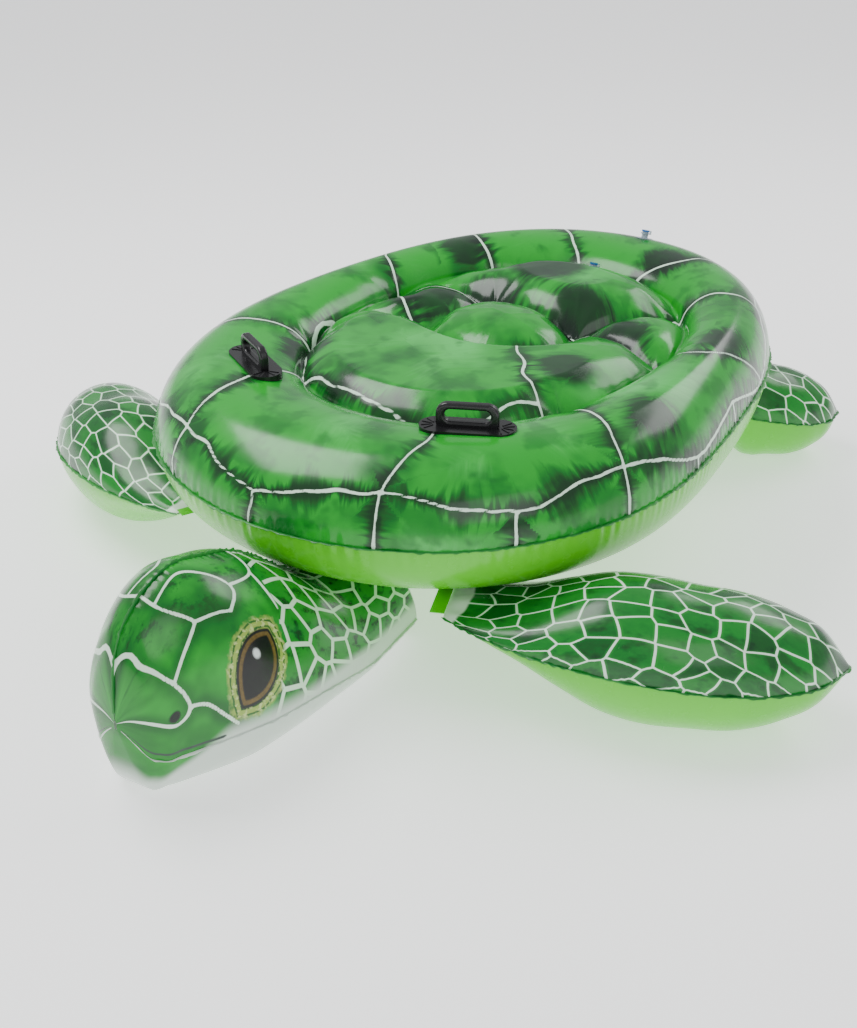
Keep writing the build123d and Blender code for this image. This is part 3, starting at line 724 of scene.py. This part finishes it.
def add_flipper(place, side):
    mirror_x = np.array((1.0 if side == "left" else -1.0, 1, 1))
    share = np.concatenate((np.linspace(0, 0.9, 110)[:-1], 1 - 0.1 * np.linspace(1, 0, 40) ** 1.6))
    middle, cross, reach, thick, length = flipper_frame(place, share)
    body = f"{place}_{side}_flipper"
    seed = {"front": 40, "rear": 60}[place] + (side == "right") * 7
    for half, material, slot_name in (("upper", SCALES, "printed_vinyl"), ("lower", GREEN, "green_vinyl")):
        sign = 1 if half == "upper" else -1
        angle = np.linspace(0, pi, FLIPPER_COLUMNS)
        across = reach[:, None] * np.cos(angle)
        rise = thick[:, None] * np.sin(angle) * sign
        edge = np.exp(-np.minimum(angle, pi - angle) / 0.16)
        edge = edge * smooth_step(np.minimum(angle, pi - angle) / 0.04)
        gather = np.sin(share * length * 620 + 2 * np.sin(share * 37) + seed)[:, None]
        gather = gather * edge * 0.0011 * smooth_step(share * 5)[:, None]
        # creases that run out of the pinched root
        fan = np.sin(angle * 9 + seed)[None, :] * np.exp(-share / 0.10)[:, None] * 0.0035
        fan = fan * np.sin(angle)[None, :] * smooth_step(share / 0.04)[:, None]
        rise = rise + gather * sign + fan * sign
        points = (middle[:, None, :] + cross[:, None, :] * across[..., None])
        points[..., 2] += rise
        points = points * mirror_x
        arc = reach[:, None] * (pi / 2 - angle) * 0.86
        gone = np.repeat(share[:, None] * length, FLIPPER_COLUMNS, 1)
        scute = np.stack((gone * SCALE_STRETCH, arc, np.full(arc.shape, 0.31 * seed)), -1)
        root_gap = gone + 0.010 * np.cos(angle * 2)[None, :]
        film = add_grid(f"{body}_{half}_film", points, False,
                        {"scute": scute + np.array((0, seed * 0.37, 0)), "root": root_gap},
                        turn_over=(half == "upper") == (side == "right"))
        dress(film, material, body, (f"{body.removesuffix('_flipper')}_{half}_panel",))
    # serrated weld all round the outline
    left = middle + cross * reach[:, None]
    right = middle - cross * reach[:, None]
    path = np.concatenate((left, right[::-1])) * mirror_x
    walked = np.concatenate(([0], np.cumsum(np.linalg.norm(np.diff(path, axis=0), axis=1))))
    stops = np.linspace(0, walked[-1], int(walked[-1] / 0.0022))
    dense = np.column_stack([np.interp(stops, walked, path[:, k]) for k in range(3)])
    tangent = unit(np.gradient(dense, axis=0) + 1e-9)
    for _ in range(6):
        tangent = unit(tangent + np.roll(tangent, 1, 0) + np.roll(tangent, -1, 0))
    up = np.array((0, 0, 1.0))
    out = unit(np.cross(tangent, up))
    inside = np.mean(dense, axis=0)
    if np.mean(np.einsum("ij,ij->i", out, dense - inside)) < 0:
        out = -out
    strip = add_weld(f"{body}_weld", dense, out, up, 0.005, seed)
    dress(strip, WELD, body)


for flipper_place in FLIPPERS:
    for flipper_side in ("left", "right"):
        add_flipper(flipper_place, flipper_side)

# ==== head =======================================================================
# Along the head: distance from the nose, half width, underside and crown heights.
HEAD_FORM = (
    (-0.020, 0.003, 0.128, 0.146), (-0.016, 0.026, 0.092, 0.186), (-0.010, 0.052, 0.050, 0.226),
    (0.006, 0.084, 0.014, 0.266), (0.035, 0.104, 0.003, 0.297), (0.075, 0.121, 0.0, 0.320),
    (0.130, 0.136, 0.0, 0.330), (0.200, 0.150, 0.0, 0.312), (0.270, 0.158, 0.0, 0.286),
    (0.330, 0.160, 0.0, 0.246), (0.390, 0.160, 0.0, 0.198), (0.430, 0.159, 0.0, 0.172),
    (0.470, 0.156, 0.0, 0.166), (0.583, 0.148, 0.0, 0.166),
)
NOSE = np.array((0.060, -0.8763))
HEAD_BACK = np.array((-0.10117, 0.99487))
HEAD_LEFT = np.array((0.99487, 0.10117))
JAW_Z, THROAT_FLAT = 0.034, 0.55


def head_rows():
    """Distances along the head, close together where the nose rounds over."""
    return np.concatenate((-0.020 + 0.040 * np.linspace(0, 1, 26) ** 1.8, np.linspace(0.024, 0.583, 150)))


def head_points(distance, across, height):
    """Points of the head; its front narrows towards the chin."""
    front = smooth_step((0.17 - distance) / 0.19)
    across = across * (1 - 0.10 * front - 0.42 * front * smooth_step((0.17 - height) / 0.19))
    plan = NOSE + HEAD_BACK * distance[..., None] + HEAD_LEFT * across[..., None]
    return np.concatenate((plan, height[..., None]), -1)


def head_form():
    d = head_rows()
    half, low, high = (form_at(d, HEAD_FORM, k) for k in (1, 2, 3))
    return d, half, low, high, np.maximum(JAW_Z, low + 0.25 * (high - low))


CHEEK_COLUMNS = 96       # points from jaw to crown
CHEEK_RISE = 0.28        # length of the cheek's section from jaw to crown
# Veins of the cheek's print: distance from the nose, share of the way up the cheek.
CHEEK_VEINS = (
    ((-0.01, 1.0), (0.01, 0.6), (0.03, 0.4)),                       # beak's upper edge
    ((0.03, 0.4), (0.06, 0.5), (0.09, 0.6)),
    ((0.09, 0.6), (0.06, 0.8), (0.06, 1.0)),
    ((0.06, 0.85), (0.12, 0.9), (0.18, 0.7), (0.15, 0.55)),         # scute over the eye
    ((0.15, 0.55), (0.09, 0.6)),
    ((0.18, 0.7), (0.24, 0.75), (0.26, 1.0)),
    ((0.24, 0.75), (0.24, 0.5)),
    ((0.03, 0.4), (0.04, 0.25), (0.02, 0.2), (-0.02, 0.3)),         # beak's lower edge
    ((0.04, 0.25), (0.07, 0.2), (0.11, 0.05)),
)
# Line behind which the scales are small, and the mouth.
SMALL_SCALES = ((0.26, 1.0), (0.24, 0.5), (0.16, 0.0))
MOUTH = ((-0.02, 0.05), (0.09, 0.02))
EYE, EYE_TURN = (0.16, 0.27), radians(45)      # middle of the eye, lean of its long axis


def almond(along, across, half_length, half_width):
    """0 in the middle of an almond, 1 on its edge."""
    radius = (half_length ** 2 + half_width ** 2) / (2 * half_width)
    shift = radius - half_width
    return (np.hypot(along, np.abs(across) + shift) - shift) / half_width


def chin_level(distance):
    """How far above the pale chin's edge the jaw lies."""
    return (0.052 - 0.056 * smooth_step((distance + 0.005) / 0.11)
            - 0.032 * smooth_step((distance - 0.22) / 0.25))


def add_cheek(side):
    sign = 1.0 if side == "left" else -1.0
    d, half, low, high, jaw = head_form()
    share = np.linspace(0, 1, CHEEK_COLUMNS)
    angle = share * pi / 2
    across = half[:, None] * np.cos(angle) * sign
    height = jaw[:, None] + (high - jaw)[:, None] * np.sin(angle)
    distance = np.repeat(d[:, None], CHEEK_COLUMNS, 1)
    points = head_points(distance, across, height)
    seam = np.exp(-(1 - share) / 0.05) * smooth_step((1 - share) / 0.015)
    points[..., 2] += 0.0013 * seam * np.sin(distance * 520 + 3 * np.sin(distance * 40) + sign)
    rise = np.repeat(share[None, :], len(d), 0)
    plan = np.stack((distance, rise * CHEEK_RISE), -1)
    scale = np.array((1, CHEEK_RISE))
    vein = vein_fields(plan, [curve(np.array(v) * scale, 6) for v in CHEEK_VEINS], 0.003, 8)[0]
    mouth = line_distance(plan.reshape(-1, 2), curve(np.array(MOUTH) * scale, 6))[0].reshape(rise.shape)
    border = np.array(SMALL_SCALES)
    behind = distance - np.interp(rise, border[::-1, 1], border[::-1, 0])
    u, v = distance - EYE[0], (rise - EYE[1]) * CHEEK_RISE
    along, over = u * cos(EYE_TURN) + v * sin(EYE_TURN), v * cos(EYE_TURN) - u * sin(EYE_TURN)
    chin = plan[..., 1] + chin_level(distance)
    fields = {
        "plan": np.concatenate((plan, np.zeros(rise.shape + (1,))), -1), "vein": vein, "mouth": mouth,
        "behind": behind, "rise": rise, "chin": chin, "lid": almond(along, over, 0.078, 0.050),
        "eye": almond(along + 0.002, over, 0.049, 0.026), "glint": np.hypot(along - 0.012, over - 0.009),
        "nostril": np.hypot(u + EYE[0] - 0.020, (rise - 0.25) * CHEEK_RISE),
    }
    film = add_grid(f"head_{side}_cheek_film", points, False, fields, turn_over=side == "right")
    return dress(film, CHEEK, "head", (f"head_{side}_cheek",))


add_cheek("left")
add_cheek("right")


def add_throat():
    d, half, low, high, jaw = head_form()
    angle = np.linspace(0, pi / 2, 30)
    flat, corner = half * THROAT_FLAT, half * (1 - THROAT_FLAT)
    side_x = flat[:, None] + corner[:, None] * np.cos(angle)
    side_z = jaw[:, None] - (jaw - low)[:, None] * np.sin(angle)
    middle_x = flat[:, None] * np.linspace(1, -1, 24)[None, 1:-1]
    across = np.concatenate((side_x, middle_x, -side_x[:, ::-1]), 1)
    height = np.concatenate((side_z, np.repeat(low[:, None], 22, 1), side_z[:, ::-1]), 1)
    distance = np.repeat(d[:, None], across.shape[1], 1)
    far = np.ones(distance.shape)
    fields = {name: 3 * far for name in ("vein", "mouth", "lid", "eye", "glint", "nostril")}
    fields["behind"], fields["rise"] = -far, 0 * far
    fields["plan"] = np.stack((distance, height, 0 * far), -1)
    fields["chin"] = height - jaw[:, None] + chin_level(distance)
    film = add_grid("head_throat_film", head_points(distance, across, height), False, fields)
    dress(film, CHEEK, "head", ("head_throat_panel",))


add_throat()

# weld of the two cheeks over the crown, and of the cheeks to the throat
rows_d, rows_half, _, rows_high, rows_jaw = head_form()
WELD_POINTS = 340
fine = np.linspace(-0.019, 0.583, WELD_POINTS)
crown = head_points(fine, np.zeros(WELD_POINTS), np.interp(fine, rows_d, rows_high))
crown_slope = np.gradient(crown[:, 2], fine)
crown_out = unit(np.column_stack((-HEAD_BACK * crown_slope[:, None], np.ones(WELD_POINTS))))
seam = add_weld("head_crown_weld", crown, crown_out, np.append(HEAD_LEFT, 0.0), 0.006, 83, 0.5)
dress(seam, WELD, "head")
for sign, side in ((1.0, "left"), (-1.0, "right")):
    jaw_line = head_points(fine, np.interp(fine, rows_d, rows_half) * sign, np.interp(fine, rows_d, rows_jaw))
    sideways = np.repeat(HEAD_LEFT[None] * sign, WELD_POINTS, 0)
    out = unit(np.column_stack((sideways, np.full(WELD_POINTS, -0.4))))
    jaw_weld = add_weld(f"head_{side}_jaw_weld", jaw_line, out, np.array((0, 0, 1.0)), 0.004, 90 + int(sign))
    dress(jaw_weld, WHITE, "head")

# ==== carried-over CAD pieces ====================================================
def repaint(words, material):
    for node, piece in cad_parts.items():
        if all(word in node for word in words):
            piece.data.materials.clear()
            piece.data.materials.append(material)


repaint(("root_strip",), GREEN)
repaint(("head_neck_panel",), WHITE)
repaint(("handle",), BLACK)
repaint(("valve_",), FROSTED)
repaint(("valve_plug",), BLUE)

# ==== camera, light and floor ====================================================
camera = bpy.data.objects.new("camera", bpy.data.cameras.new("camera"))
camera.location = (1.517, -2.0963, 1.462)
camera.rotation_euler = (radians(61.89), 0, radians(36.47))
camera.data.lens, camera.data.sensor_width = 53.79, 36
camera.data.sensor_fit = "AUTO"
bpy.context.scene.collection.objects.link(camera)
bpy.context.scene.camera = camera


def add_floor():
    mesh = bpy.data.meshes.new("floor")
    size = 60.0
    corners = [(-size, -size, 0), (size, -size, 0), (size, size, 0), (-size, size, 0)]
    mesh.from_pydata(corners, [], [(0, 1, 2, 3)])
    floor = bpy.data.objects.new("floor", mesh)
    bpy.context.scene.collection.objects.link(floor)
    n = Nodes("floor_paper")
    paper = n.mix(n.grain(None, 2.0), (0.90, 0.90, 0.90, 1), (0.92, 0.92, 0.92, 1))
    n.put(n.shader.inputs["Base Color"], paper)
    n.shader.inputs["Roughness"].default_value = 0.55
    n.shader.inputs["Emission Color"].default_value = (1, 1, 1, 1)
    n.shader.inputs["Emission Strength"].default_value = 0.75
    floor.data.materials.append(n.material)


def add_light(name, place, target, size, power):
    lamp = bpy.data.lights.new(name, "AREA")
    lamp.shape, lamp.size, lamp.size_y, lamp.energy = "RECTANGLE", size[0], size[1], power
    piece = bpy.data.objects.new(name, lamp)
    piece.location = place
    ray = Vector(target) - Vector(place)
    piece.rotation_euler = ray.to_track_quat("-Z", "Y").to_euler()
    bpy.context.scene.collection.objects.link(piece)


add_floor()
add_light("key", (-1.6, -0.6, 3.0), (0, 0, 0.2), (2.2, 1.6), 95)
add_light("fill", (2.8, -1.8, 2.2), (0, 0, 0.2), (2.2, 2.2), 26)
add_light("back", (1.0, 3.0, 2.4), (0, 0.2, 0.3), (2.6, 1.2), 45)
world = bpy.data.worlds.new("studio")
world.use_nodes = True
world.node_tree.nodes["Background"].inputs["Color"].default_value = (0.95, 0.97, 1.0, 1)
world.node_tree.nodes["Background"].inputs["Strength"].default_value = 0.62
bpy.context.scene.world = world
